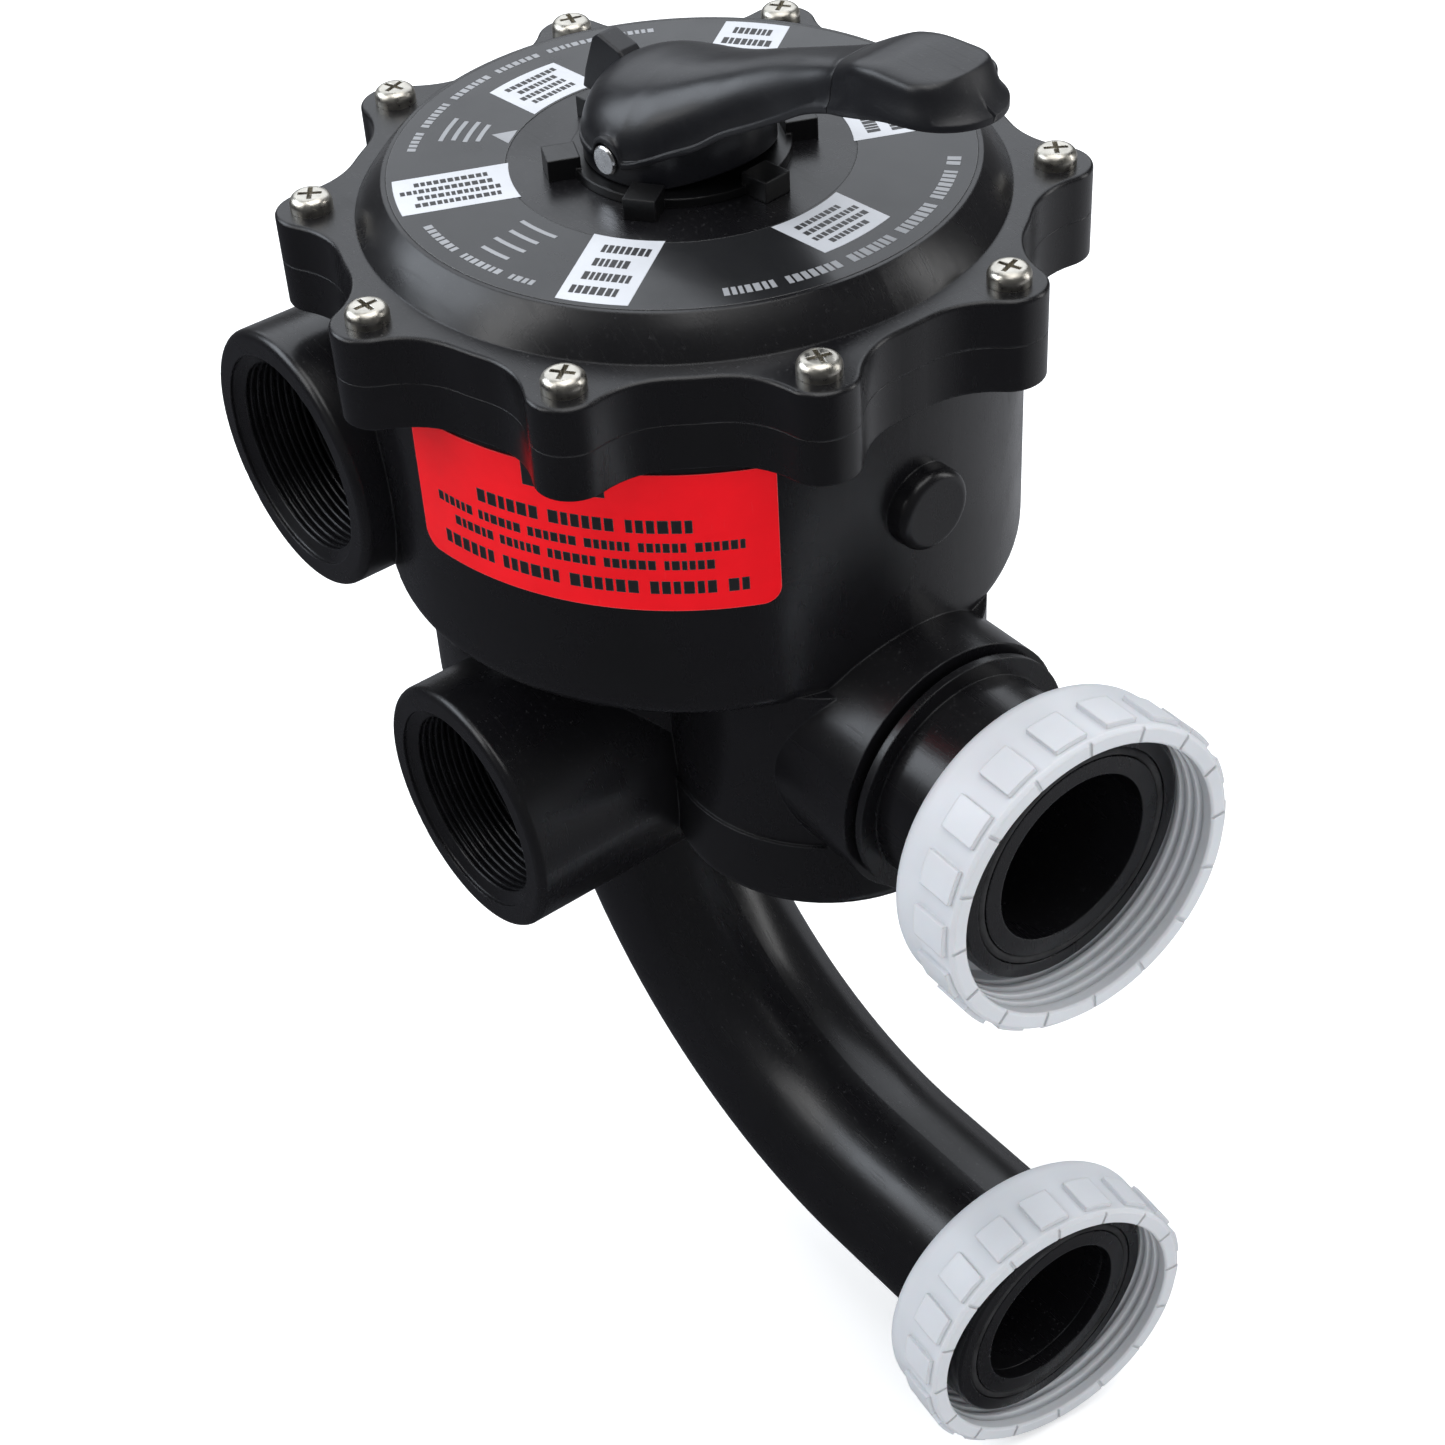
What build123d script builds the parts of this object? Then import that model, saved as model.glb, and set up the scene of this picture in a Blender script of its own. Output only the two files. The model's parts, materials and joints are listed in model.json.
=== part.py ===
from build123d import *
import os

os.makedirs("parts", exist_ok=True)

# Multiport valve for a pool filter, side-mounted by two union ports.
# Origin: centre of the upper union's sealing face. +X points out of the unions,
# +Z is up along the selector axis. Lengths are in millimetres.

# ---- driving dimensions ----
axis_x = -154.3            # selector axis
union_drop = 191.3         # upper union axis down to lower union axis
lobe_count = 10
bolt_circle_r = 98.0
first_bolt = 18.0          # azimuth of the first bolt, degrees
position_count = 6
rest_azimuth = 6.0         # azimuth of the position the handle rests in
glue_gap = 0.05
seal_clearance = 0.05
run_gap = 0.08

# levels on the selector axis
lid_top_z = 133.0
seam_z = 120.0
flange_bottom_z = 107.0
drum_bottom_z = 24.0
seat_z = 30.0
seat_t = 8.0
chamber_bottom_z = -30.5
chamber_floor_z = -25.0
sump_bottom_z = -49.0
sump_floor_z = -43.0

# drum and flanges
drum_r = 90.5
drum_inner_r = 84.5
drum_edge_r = 7.0
flange_r = 92.5
flange_edge_r = 1.2
lobe_r = 10.0
valley_blend_r = 24.0
screw_hole_r = 3.3
nut_pocket_r = 5.95        # across corners, halved
nut_pocket_depth = 3.0
seal_r = 88.0              # lid seal
seal_wire_r = 1.75
seal_groove_w = 4.2
seal_groove_depth = 3.6
boss_azimuth = 2.5         # small blind test boss on the drum wall
boss_z = 77.0
boss_r = 11.5
boss_reach = 96.5

# chambers under the drum
chamber_x = axis_x - 25.0
chamber_r = 70.0
sump_x = axis_x + 53.6
sump_r = 45.0
sump_step = 1.0
sump_edge_r = 5.0
sump_wall = 8.0
bridge_half_w = 38.0
chamber_wall = 6.0
chamber_post_r = 14.0
web_w = 5.0
window_inner_r = 20.0
window_outer_r = 54.0
rib_w = 8.0

# threaded pipe ports
hub_r = 38.5
hub_edge_r = 2.5
port_bore_r = 26.0
thread_minor_r = 28.2
thread_major_r = 30.0
thread_pitch = 2.2
thread_turns = 12
mouth_r = 31.5
mouth_depth = 3.0
side_port_x = axis_x - 61.6
inlet_z = 58.4
inlet_face_y = -97.3
inlet_hub_length = 47.3
inlet_bore_depth = 52.0
return_z = -34.0
return_face_y = -92.3
return_hub_length = 60.3
return_bore_depth = 54.0
waste_z = -4.0
waste_face_y = 97.3
waste_hub_length = 45.3
waste_bore_depth = 52.0

# union ports
union_bore_r = 25.2
pipe_r = 29.0
union_hub_r = 38.0
hub_end_x = -47.3
socket_start_x = -60.0
body_bore_r = 25.6
tail_neck_r = 31.0
tail_collar_r = 36.3
tail_collar_x = -44.6
tail_collar_t = 2.3
tail_flange_r = 37.7
tail_flange_t = 8.3
tail_chamfer = 0.8
sleeve_start_x = -17.3
face_groove_inner_r = 30.3
face_groove_outer_r = 33.0
face_groove_depth = 2.4
face_seal_wire_r = 1.3

# union nuts
# they hang loose, so each sits a little low and tipped: centre of the front, pitch and yaw
upper_nut_front = (9.0, -1.5, -1.2)
upper_nut_pitch = 4.0
upper_nut_yaw = -4.6
lower_nut_front = (5.0, -1.6, -192.7)
lower_nut_pitch = 2.3
lower_nut_yaw = -8.0
nut_length = 26.9
nut_wall_t = 5.0
nut_hole_r = 34.6
nut_r = 45.5
nut_minor_r = 40.4
nut_back_round = 5.0
nut_front_bevel = 1.0
nut_lead_in = 0.6
nut_major_r = 42.2
nut_thread_start = 3.0
nut_thread_pitch = 3.6
nut_thread_turns = 4
pad_count = 18
pad_angle = 12.0
pad_h = 1.4
pad_start = 12.7
pad_length = 12.0
upper_first_pad = 115.5
lower_first_pad = 110.0
notch_count = 16
notch_w = 1.0
notch_depth = 0.6

# drop pipe
bend_r = 138.1
bend_x = -71.55
pipe_x = bend_x - bend_r
bend_z = bend_r - union_drop
pipe_top_z = -34.0
pipe_end_x = -4.5
pipe_end_gap = 0.2
pipe_bore_r = 25.2
pipe_throat_r = 24.0
collar_r = 33.5
collar_bottom_z = -46.5
collar_top_z = -26.5

# lid
dome_base_r = 86.5
dome_mid_r = 82.8
dome_mid_z = 138.1
dial_r = 77.2
dial_hole_r = 46.0
dial_z = 142.2
dial_t = 0.5
lip_w = 1.3
lip_z = 142.6
lid_spigot_r = 84.2
lid_spigot_depth = 8.0
lid_inner_r = 76.0
lid_ceiling_z = 135.0
lid_boss_r = 20.0
lid_rib_w = 3.0
lid_rib_bottom_z = 118.0
lid_bore_r = 9.56

# fasteners
screw_r = 3.0
screw_tip_z = 103.5
screw_head_r = 5.7
screw_head_h = 4.5
screw_head_edge_r = 2.6
cross_w = 1.3
cross_length = 6.4
cross_depth = 2.2
nut_corner_r = 5.75        # hexagon nuts, across corners, halved
nut_bottom_z = 105.0
nut_t = 5.0

# label on the drum wall
label_inner_r = 90.52
label_t = 0.33
label_start = -89.5
label_end = -23.8
label_bottom_z = 62.0
label_h = 42.0
label_corner_r = 5.0

# rotor
gasket_z = 30.05
gasket_t = 2.95
rotor_z = 33.05
rotor_t = 9.95
rotor_r = 64.0
rotor_window_half = 25.0
pocket_start = 155.0
pocket_end = 265.0
pocket_wall = 4.0
pocket_top_z = 52.0
spring_seat_r = 24.0
spring_bottom_z = 52.0
shaft_r = 9.5
shaft_top_z = 158.0
groove_r = 6.8
groove_w = 3.0
groove_levels = (122.0, 130.0)
shaft_seal_wire_r = 1.36

# spring and slip washer
spring_r = 19.0
wire_r = 2.4
spring_turns = 7
washer_bottom_z = 109.5
washer_t = 2.4
washer_inner_r = 9.8
washer_outer_r = 23.0
spring_top_gap = 0.1

# position ring under the handle
cam_z = 142.7
cam_t = 2.5
cam_r = 29.0
cam_inner_r = 10.2
lug_inner_r = 27.3
lug_outer_r = 36.0
lug_w = 8.6
lug_h = 5.8

# handle
pin_z = 151.0
pin_r = 4.0
pin_half = 26.5
pin_eye_gap = 0.02
pin_hole_gap = 0.06
handle_hub_r = 26.0
foot_z = 145.3
fulcrum_u = 14.0
slot_half_w = 10.2
slot_back_u = -13.0
slot_front_u = 16.0
slot_top_z = 164.0
handle_seam_u = 60.0
seam_gap = 0.1
tongue_z = 186.0
tongue_w = 12.0
tongue_h = 8.0
tongue_length = 12.0
fin_w = 7.0

axis_plane = Plane(origin=(axis_x, 0, 0), x_dir=(1, 0, 0), z_dir=(0, -1, 0))
valve_axis = Axis((axis_x, 0, 0), (0, 0, 1))
lever_dir = Vector(1, 0, 0).rotate(Axis.Z, rest_azimuth)
lever_side_dir = lever_dir.rotate(Axis.Z, 90)
lever_plane = Plane(origin=(axis_x, 0, 0), x_dir=lever_dir, z_dir=-lever_side_dir)


def level(z, x=axis_x):
    # horizontal sketch plane, centred on the selector axis unless x is given
    return Plane(origin=(x, 0, z), x_dir=(1, 0, 0), z_dir=(0, 0, 1))


def facing_x(x, z):
    # upright sketch plane whose normal points along +X
    return Plane(origin=(x, 0, z), x_dir=(0, 1, 0), z_dir=(1, 0, 0))


def port_frame(x, y, z, direction):
    # upright sketch plane on a port face; direction +1 or -1 is the way it faces in Y
    return Plane(origin=(x, y, z), x_dir=(1, 0, 0), z_dir=(0, direction, 0))


def save(part, name):
    part.label = name
    export_step(part, f"parts/{name}.step")


# ---- shared outlines and shapes ----
def scallop_outline():
    # ten lobes around the screws, blended into the round flange
    with BuildSketch() as outline:
        Circle(flange_r)
        with PolarLocations(bolt_circle_r, lobe_count, start_angle=first_bolt):
            Circle(lobe_r)
        crooks = [v for v in outline.vertices() if abs(Vector(v.X, v.Y, 0).length - flange_r) < 0.01]
        fillet(crooks, radius=valley_blend_r)
    return outline.sketch


def chamber_plan(inset):
    # plan of the chambers under the drum, measured from the selector axis
    with BuildSketch() as plan:
        with Locations((chamber_x - axis_x, 0)):
            Circle(chamber_r - inset)
        with Locations(((chamber_x + sump_x) / 2 - axis_x, 0)):
            Rectangle(sump_x - chamber_x, 2 * (bridge_half_w - inset))
        with Locations((sump_x - axis_x, 0)):
            Circle(sump_r - inset)
    return plan.sketch


def seat_windows():
    # six windows between ribs, one for each handle position
    with BuildSketch() as windows:
        Circle(window_outer_r)
        Circle(window_inner_r, mode=Mode.SUBTRACT)
        for i in range(position_count // 2):
            with Locations(Location((0, 0, 0), (0, 0, 30 + 60 * i))):
                Rectangle(3 * window_outer_r, rib_w, mode=Mode.SUBTRACT)
    return windows.sketch


def ring_sector(inner_r, outer_r, start, end):
    # part of a ring between two azimuths in degrees
    with BuildSketch() as sector:
        with BuildLine():
            outer_arc = CenterArc((0, 0), outer_r, start, end - start)
            inner_arc = CenterArc((0, 0), inner_r, start, end - start)
            Line(outer_arc @ 0, inner_arc @ 0)
            Line(outer_arc @ 1, inner_arc @ 1)
        make_face()
    return sector.sketch


def ring_teeth(top, turns, pitch, root_r, crest_r):
    # thread profile in the XZ plane, running down from z = top
    with BuildSketch(Plane.XZ) as teeth:
        for i in range(turns):
            tooth_z = top - i * pitch
            with BuildLine():
                Polyline(
                    (root_r - 0.4, tooth_z - 0.2 * pitch),
                    (root_r, tooth_z - 0.2 * pitch),
                    (crest_r, tooth_z - 0.5 * pitch),
                    (root_r, tooth_z - 0.8 * pitch),
                    (root_r - 0.4, tooth_z - 0.8 * pitch),
                    close=True,
                )
            make_face()
    return teeth.sketch


def threaded_port_cutter(depth):
    # what is removed from a port hub: mouth at z = 0, port running down -Z
    thread_end = mouth_depth + thread_turns * thread_pitch + 1.0
    with BuildPart() as cutter:
        with BuildSketch(Plane.XZ):
            with BuildLine():
                Polyline(
                    (0, 1),
                    (mouth_r, 1),
                    (mouth_r, -1.2),
                    (thread_minor_r, -mouth_depth),
                    (thread_minor_r, -thread_end),
                    (port_bore_r, -thread_end - 2),
                    (port_bore_r, -depth),
                    (0, -depth),
                    close=True,
                )
            make_face()
        revolve(axis=Axis.Z)
        add(ring_teeth(-mouth_depth, thread_turns, thread_pitch, thread_minor_r, thread_major_r))
        revolve(axis=Axis.Z)
    return cutter.part


def port_hub(length, ball):
    # solid hub with its face at z = 0 and its body running down -Z
    with BuildPart() as hub:
        Cylinder(hub_r, length, align=(Align.CENTER, Align.CENTER, Align.MAX))
        fillet(hub.edges().filter_by(GeomType.CIRCLE).sort_by(Axis.Z)[-1:], radius=hub_edge_r)
        if ball:
            with Locations((0, 0, -length)):
                Sphere(hub_r)
    return hub.part


def seal_ring(ring_r, wire):
    # O-ring lying in the XY plane
    with BuildPart() as ring:
        Torus(ring_r, wire)
    return ring.part


inlet_frame = port_frame(side_port_x, inlet_face_y, inlet_z, -1)
return_frame = port_frame(axis_x, return_face_y, return_z, -1)
waste_frame = port_frame(side_port_x, waste_face_y, waste_z, 1)
flange_outline = scallop_outline()

# ---- valve body ----
boss_dir = Vector(1, 0, 0).rotate(Axis.Z, boss_azimuth)
with BuildPart() as test_boss:
    with BuildSketch(Plane(origin=Vector(axis_x, 0, boss_z) + boss_dir * drum_inner_r, z_dir=boss_dir)):
        Circle(boss_r)
    extrude(amount=boss_reach - drum_inner_r)
    fillet(test_boss.faces().sort_by(Axis.X)[-1].edges(), radius=hub_edge_r)

with BuildPart() as valve_body:
    # drum wall and body flange
    with BuildSketch(level(drum_bottom_z)):
        Circle(drum_r)
    extrude(amount=seam_z - drum_bottom_z)
    fillet(valve_body.faces().sort_by(Axis.Z)[0].edges(), radius=drum_edge_r)
    with BuildSketch(level(flange_bottom_z)):
        add(flange_outline)
    extrude(amount=seam_z - flange_bottom_z)
    # chambers and sump under the drum
    with BuildSketch(level(chamber_bottom_z)):
        add(chamber_plan(0))
    extrude(amount=seat_z - 2 - chamber_bottom_z)
    with BuildSketch(level(sump_bottom_z, sump_x)):
        Circle(sump_r + sump_step)
    extrude(amount=chamber_floor_z - sump_bottom_z)
    fillet(valve_body.faces().sort_by(Axis.Z)[0].edges(), radius=sump_edge_r)
    # collar that the drop pipe is glued into
    with BuildSketch(level(collar_bottom_z, pipe_x)):
        Circle(collar_r)
    extrude(amount=collar_top_z - collar_bottom_z)
    # port hubs
    add(port_hub(inlet_hub_length, True).moved(Location(inlet_frame)))
    add(port_hub(waste_hub_length, True).moved(Location(waste_frame)))
    add(port_hub(return_hub_length, False).moved(Location(return_frame)))
    with BuildSketch(facing_x(sump_x, 0)):
        Circle(union_hub_r)
    extrude(amount=hub_end_x - sump_x)
    add(test_boss.part)
    # inside of the drum
    with BuildSketch(level(seat_z)):
        Circle(drum_inner_r)
    extrude(amount=seam_z - seat_z, mode=Mode.SUBTRACT)
    # groove for the lid seal
    with BuildSketch(level(seam_z)):
        Circle(seal_r + seal_groove_w / 2)
        Circle(seal_r - seal_groove_w / 2, mode=Mode.SUBTRACT)
    extrude(amount=-seal_groove_depth, mode=Mode.SUBTRACT)
    # windows through the seat
    with BuildSketch(level(seat_z)):
        add(seat_windows())
    extrude(amount=-seat_t, mode=Mode.SUBTRACT)
    # four separate chambers: one each for +X, +Y, -X and -Y
    with BuildSketch(level(seat_z - seat_t)):
        add(chamber_plan(chamber_wall))
        Circle(chamber_post_r, mode=Mode.SUBTRACT)
        for side in (30, -30, 150, -150):
            with Locations(Location((0, 0, 0), (0, 0, side))):
                Rectangle(2 * chamber_r, web_w, align=(Align.MIN, Align.CENTER), mode=Mode.SUBTRACT)
    extrude(amount=chamber_floor_z - seat_z + seat_t, mode=Mode.SUBTRACT)
    with BuildSketch(level(sump_floor_z, sump_x)):
        Circle(sump_r - sump_wall)
    extrude(amount=chamber_floor_z - sump_floor_z + 1, mode=Mode.SUBTRACT)
    # passages
    add(threaded_port_cutter(inlet_bore_depth).moved(Location(inlet_frame)), mode=Mode.SUBTRACT)
    add(threaded_port_cutter(waste_bore_depth).moved(Location(waste_frame)), mode=Mode.SUBTRACT)
    add(threaded_port_cutter(return_bore_depth).moved(Location(return_frame)), mode=Mode.SUBTRACT)
    with BuildSketch(facing_x(hub_end_x, 0)):
        Circle(pipe_r + glue_gap)
    extrude(amount=socket_start_x - hub_end_x, mode=Mode.SUBTRACT)
    with BuildSketch(facing_x(sump_x, 0)):
        Circle(body_bore_r)
    extrude(amount=socket_start_x - sump_x, mode=Mode.SUBTRACT)
    with BuildSketch(level(collar_bottom_z, pipe_x)):
        Circle(pipe_r + glue_gap)
    extrude(amount=pipe_top_z - collar_bottom_z, mode=Mode.SUBTRACT)
    with BuildSketch(level(pipe_top_z, pipe_x)):
        Circle(pipe_throat_r)
    extrude(amount=seat_z - seat_t - pipe_top_z - 10, mode=Mode.SUBTRACT)
    # bolt holes and nut pockets
    with BuildSketch(level(flange_bottom_z)):
        with PolarLocations(bolt_circle_r, lobe_count, start_angle=first_bolt):
            Circle(screw_hole_r)
    extrude(amount=seam_z - flange_bottom_z, mode=Mode.SUBTRACT)
    with BuildSketch(level(flange_bottom_z)):
        with PolarLocations(bolt_circle_r, lobe_count, start_angle=first_bolt):
            RegularPolygon(nut_pocket_r, 6)
    extrude(amount=nut_pocket_depth, mode=Mode.SUBTRACT)
save(valve_body.part, "valve_body")

# ---- lid ----
with BuildPart() as lid:
    with BuildSketch(level(seam_z)):
        add(flange_outline)
    extrude(amount=lid_top_z - seam_z)
    fillet(lid.faces().sort_by(Axis.Z)[-1].edges(), radius=flange_edge_r)
    # domed shoulder, with a thin lip round the recess of the dial
    with BuildSketch(axis_plane):
        with BuildLine():
            ThreePointArc((dome_base_r, lid_top_z), (dome_mid_r, dome_mid_z), (dial_r + lip_w, lip_z))
            Polyline(
                (dial_r + lip_w, lip_z),
                (dial_r, lip_z),
                (dial_r, dial_z),
                (dial_hole_r, dial_z),
                (dial_hole_r, lip_z),
                (0, lip_z),
                (0, seam_z),
                (dome_base_r, seam_z),
                (dome_base_r, lid_top_z),
            )
        make_face()
    revolve(axis=valve_axis)
    # spigot that centres the lid in the drum
    with BuildSketch(level(seam_z)):
        Circle(lid_spigot_r)
    extrude(amount=-lid_spigot_depth)
    # hollow underside around the shaft boss
    with BuildSketch(level(seam_z - lid_spigot_depth)):
        Circle(lid_inner_r)
        Circle(lid_boss_r, mode=Mode.SUBTRACT)
    extrude(amount=lid_ceiling_z - seam_z + lid_spigot_depth, mode=Mode.SUBTRACT)
    with BuildSketch(level(lid_rib_bottom_z)):
        for i in range(position_count // 2):
            with Locations(Location((0, 0, 0), (0, 0, 60 * i))):
                Rectangle(2 * lid_inner_r + 2, lid_rib_w)
        Circle(lid_boss_r - 1, mode=Mode.SUBTRACT)
    extrude(amount=lid_ceiling_z - lid_rib_bottom_z + 1)
    # shaft bore and bolt holes
    with BuildSketch(level(seam_z - lid_spigot_depth)):
        Circle(lid_bore_r)
    extrude(amount=lip_z - seam_z + lid_spigot_depth, mode=Mode.SUBTRACT)
    with BuildSketch(level(seam_z)):
        with PolarLocations(bolt_circle_r, lobe_count, start_angle=first_bolt):
            Circle(screw_hole_r)
    extrude(amount=lid_top_z - seam_z, mode=Mode.SUBTRACT)
save(lid.part, "lid")

with BuildPart() as lid_o_ring:
    add(seal_ring(seal_r, seal_wire_r).moved(Location(level(seam_z - seal_wire_r - seal_clearance))))
save(lid_o_ring.part, "lid_o_ring")

with BuildPart() as dial_plate:
    with BuildSketch(level(dial_z)):
        Circle(dial_r - glue_gap)
        Circle(dial_hole_r + glue_gap, mode=Mode.SUBTRACT)
    extrude(amount=dial_t)
save(dial_plate.part, "dial_plate")

with BuildPart() as side_label:
    with BuildSketch(level(label_bottom_z)):
        add(ring_sector(label_inner_r, label_inner_r + label_t, label_start, label_end))
    extrude(amount=label_h)
    corners = side_label.edges().group_by(Axis.Z)[0].filter_by(lambda edge: edge.length < 1)
    fillet(corners, radius=label_corner_r)
save(side_label.part, "side_label")

# ---- lid fasteners ----
with BuildPart() as lid_screws:
    with BuildSketch(level(screw_tip_z)):
        with PolarLocations(bolt_circle_r, lobe_count, start_angle=first_bolt):
            Circle(screw_r)
    extrude(amount=lid_top_z - screw_tip_z)
    with BuildSketch(level(lid_top_z)):
        with PolarLocations(bolt_circle_r, lobe_count, start_angle=first_bolt):
            Circle(screw_head_r)
    extrude(amount=screw_head_h)
    fillet(lid_screws.edges().group_by(Axis.Z)[-1], radius=screw_head_edge_r)
    with BuildSketch(level(lid_top_z + screw_head_h)):
        with PolarLocations(bolt_circle_r, lobe_count, start_angle=first_bolt):
            Rectangle(cross_length, cross_w)
            Rectangle(cross_w, cross_length)
    extrude(amount=-cross_depth, mode=Mode.SUBTRACT)
save(lid_screws.part, "lid_screws")

with BuildPart() as lid_nuts:
    with BuildSketch(level(nut_bottom_z)):
        with PolarLocations(bolt_circle_r, lobe_count, start_angle=first_bolt):
            RegularPolygon(nut_corner_r, 6)
            Circle(screw_r + glue_gap, mode=Mode.SUBTRACT)
    extrude(amount=nut_t)
save(lid_nuts.part, "lid_nuts")

# ---- selector: gasket, rotor, seals, spring and washer ----
with BuildPart() as spider_gasket:
    with BuildSketch(level(gasket_z)):
        Circle(rotor_r)
        add(seat_windows(), mode=Mode.SUBTRACT)
    extrude(amount=gasket_t)
save(spider_gasket.part, "spider_gasket")

rotor_top_z = rotor_z + rotor_t
with BuildPart() as rotor:
    with BuildSketch(level(rotor_z)):
        Circle(rotor_r)
    extrude(amount=rotor_t)
    with BuildSketch(level(rotor_top_z)):
        Circle(spring_seat_r)
    extrude(amount=spring_bottom_z - rotor_top_z)
    # cover of the pocket that joins two neighbouring windows
    with BuildSketch(level(rotor_top_z)):
        add(ring_sector(spring_seat_r - 1, window_outer_r + pocket_wall, pocket_start, pocket_end))
    extrude(amount=pocket_top_z + pocket_wall - rotor_top_z)
    with BuildSketch(level(rotor_z)):
        add(ring_sector(spring_seat_r + pocket_wall, window_outer_r, pocket_start + 5, pocket_end - 5))
    extrude(amount=pocket_top_z - rotor_z, mode=Mode.SUBTRACT)
    # window that lets the inlet through
    with BuildSketch(level(rotor_z)):
        add(ring_sector(spring_seat_r + 1, window_outer_r, -rotor_window_half, rotor_window_half))
    extrude(amount=rotor_t, mode=Mode.SUBTRACT)
    # shaft with its seal grooves and the eye of the handle pin
    with BuildSketch(level(spring_bottom_z)):
        Circle(shaft_r)
    extrude(amount=shaft_top_z - spring_bottom_z)
    chamfer(rotor.edges().sort_by(Axis.Z)[-1], length=1)
    for groove_z in groove_levels:
        with BuildSketch(level(groove_z - groove_w / 2)):
            Circle(shaft_r + 1)
            Circle(groove_r, mode=Mode.SUBTRACT)
        extrude(amount=groove_w, mode=Mode.SUBTRACT)
    with BuildSketch(lever_plane):
        with Locations((0, pin_z)):
            Circle(pin_r + pin_eye_gap)
    extrude(amount=2 * shaft_r, both=True, mode=Mode.SUBTRACT)
save(rotor.part, "rotor")

with BuildPart() as shaft_o_rings:
    for groove_z in groove_levels:
        ring = seal_ring(groove_r + shaft_seal_wire_r + 0.01, shaft_seal_wire_r)
        add(ring.moved(Location(level(groove_z))))
save(shaft_o_rings.part, "shaft_o_rings")

spring_rise = washer_bottom_z - spring_top_gap - spring_bottom_z - 2 * wire_r
with BuildPart() as spring:
    with BuildLine() as coil:
        Helix(spring_rise / spring_turns, spring_rise, spring_r, center=(axis_x, 0, spring_bottom_z + wire_r))
    with BuildSketch(Plane(origin=coil.line @ 0, z_dir=coil.line % 0)):
        Circle(wire_r)
    sweep(path=coil.line, is_frenet=True)
save(spring.part, "spring")

with BuildPart() as slip_washer:
    with BuildSketch(level(washer_bottom_z)):
        Circle(washer_outer_r)
        Circle(washer_inner_r, mode=Mode.SUBTRACT)
    extrude(amount=washer_t)
save(slip_washer.part, "slip_washer")

# ---- position ring ----
with BuildPart() as cam_washer:
    with BuildSketch(level(cam_z)):
        Circle(cam_r)
        Circle(cam_inner_r, mode=Mode.SUBTRACT)
    extrude(amount=cam_t)
    with BuildSketch(level(cam_z)):
        with PolarLocations((lug_inner_r + lug_outer_r) / 2, position_count, start_angle=rest_azimuth):
            Rectangle(lug_outer_r - lug_inner_r, lug_w)
    extrude(amount=lug_h)
save(cam_washer.part, "cam_washer")

# ---- handle ----
with BuildPart() as handle_pin:
    with BuildSketch(lever_plane):
        with Locations((0, pin_z)):
            Circle(pin_r)
    extrude(amount=pin_half, both=True)
    chamfer(handle_pin.edges().filter_by(GeomType.CIRCLE), length=0.5)
save(handle_pin.part, "handle_pin")

# the whole lever: its side outline, trimmed by its plan; u runs along the lever
with BuildPart() as lever:
    with BuildSketch(lever_plane):
        with BuildLine():
            Spline(
                (-26, 155), (-19.5, 166), (-6, 172), (12, 176.5), (39, 186), (60, 192), (86, 198), (102, 200.3)
            )
            ThreePointArc((102, 200.3), (110, 198.5), (112, 193))
            Spline((112, 193), (92, 186), (66, 178.5), (45, 169), (29.5, 161))
            Polyline(
                (29.5, 161),
                (20.5, 152),
                (19.5, foot_z + 2.3),
                (fulcrum_u, foot_z),
                (-22, foot_z),
                (-26, foot_z + 4),
                (-26, 155),
            )
        make_face()
    extrude(amount=handle_hub_r + 1, both=True)
    with BuildSketch(Plane(origin=(axis_x, 0, foot_z - 1), x_dir=lever_dir, z_dir=(0, 0, 1))):
        Circle(handle_hub_r)
        with BuildLine():
            edge_line = Spline(
                (10, 24), (24, 16.5), (42, 10.8), (58, 10.6), (72, 13.8), (84, 15.6), (99, 15), (109, 9), (112, 0)
            )
            Line((10, 24), (10, 0))
            Line((10, 0), (112, 0))
        make_face()
        mirror(about=Plane.XZ)
    extrude(amount=60, mode=Mode.INTERSECT)

seam_plane = Plane(
    origin=Vector(axis_x, 0, tongue_z) + lever_dir * handle_seam_u,
    x_dir=lever_side_dir,
    z_dir=lever_dir,
)
with BuildPart() as handle:
    add(lever.part)
    split(bisect_by=seam_plane, keep=Keep.BOTTOM)
    # pointer at the tail
    with BuildSketch(lever_plane):
        with BuildLine():
            Polyline((-34, 151), (-27, 169), (-23, 170.5), (-10, 171), (-10, 160), (-22, 151), close=True)
        make_face()
    extrude(amount=fin_w / 2, both=True)
    # tongue that carries the grip
    with BuildSketch(seam_plane):
        Rectangle(tongue_w, tongue_h)
    extrude(amount=tongue_length)
    # slot for the shaft and hole for the pin
    with BuildSketch(lever_plane):
        with Locations(((slot_back_u + slot_front_u) / 2, (foot_z - 1 + slot_top_z) / 2)):
            Rectangle(slot_front_u - slot_back_u, slot_top_z - foot_z + 1)
    extrude(amount=slot_half_w, both=True, mode=Mode.SUBTRACT)
    with BuildSketch(lever_plane):
        with Locations((0, pin_z)):
            Circle(pin_r + pin_hole_gap)
    extrude(amount=handle_hub_r + 1, both=True, mode=Mode.SUBTRACT)
save(handle.part, "handle")

with BuildPart() as handle_grip:
    add(lever.part)
    split(bisect_by=seam_plane.offset(seam_gap), keep=Keep.TOP)
    with BuildSketch(seam_plane):
        Rectangle(tongue_w + 2 * glue_gap, tongue_h + 2 * glue_gap)
    extrude(amount=tongue_length + glue_gap, mode=Mode.SUBTRACT)
save(handle_grip.part, "handle_grip")


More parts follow.
